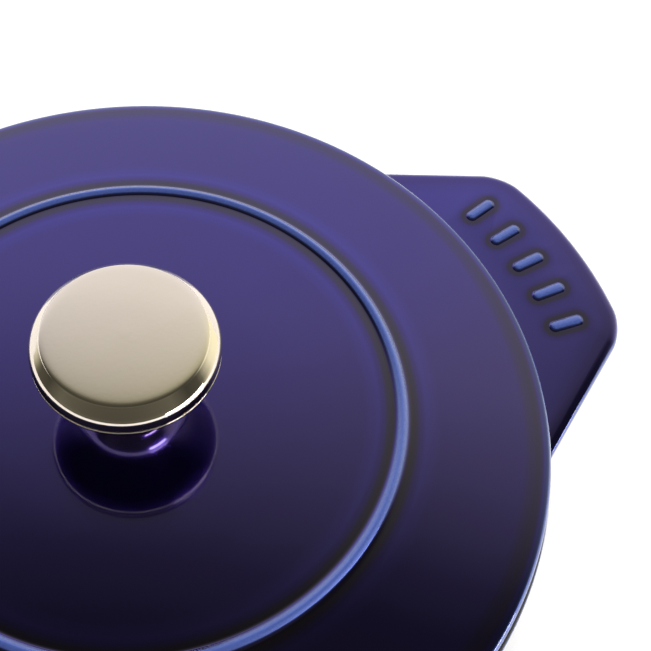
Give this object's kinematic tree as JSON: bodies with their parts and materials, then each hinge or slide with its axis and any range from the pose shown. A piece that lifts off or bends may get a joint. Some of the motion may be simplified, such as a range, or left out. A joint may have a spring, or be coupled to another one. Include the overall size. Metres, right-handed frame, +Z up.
{
  "type": "cast iron dutch oven",
  "caption": "Small round enamelled cast iron pot with tab handles and a lift-off lid with a screwed-on metal knob.",
  "frame": {"origin": "centre of the pot's flat base, on the pot's axis", "axes": "+Z up along the pot's axis, +X along the line through both handles, +Y across"},
  "size_m": [0.2328, 0.1816, 0.127],
  "materials": {
    "pot_enamel": "glossy deep blue glass enamel outside, matt black enamel inside, over cast iron",
    "lid_enamel": "glossy deep blue glass enamel on top, matt black enamel underneath, over cast iron",
    "knob_nickel": "polished warm nickel plate over steel",
    "insert_brass": "turned brass, hidden inside the knob",
    "hardware_steel": "plain stainless steel screw and washers"
  },
  "bodies": {
    "pot": {"pot_body": "pot_enamel"},
    "lid_assembly": {"lid": "lid_enamel", "flat_washer": "hardware_steel"},
    "knob": {"knob_cap": "knob_nickel", "knob_base": "knob_nickel", "knob_insert": "insert_brass"},
    "screw": {"knob_screw": "hardware_steel", "spring_washer": "hardware_steel"}
  },
  "joints": [
    {"name": "lid_lift", "type": "slide", "parent": "pot", "child": "lid_assembly", "axis": [0, 0, 1], "range_m": [0, 0.12]},
    {"name": "knob_screw_turn", "type": "hinge", "parent": "lid_assembly", "child": "screw", "pos_m": [0, 0, 0.0939], "axis": [0, 0, 1], "range_deg": [-2530, 0]},
    {"name": "knob_rise", "type": "slide", "parent": "lid_assembly", "child": "knob", "axis": [0, 0, 1], "range_m": [0, 0.007]}
  ],
  "couplings": [
    {"joint": "knob_screw_turn", "follows": "knob_rise", "rad_per_m": -6283.2}
  ]
}
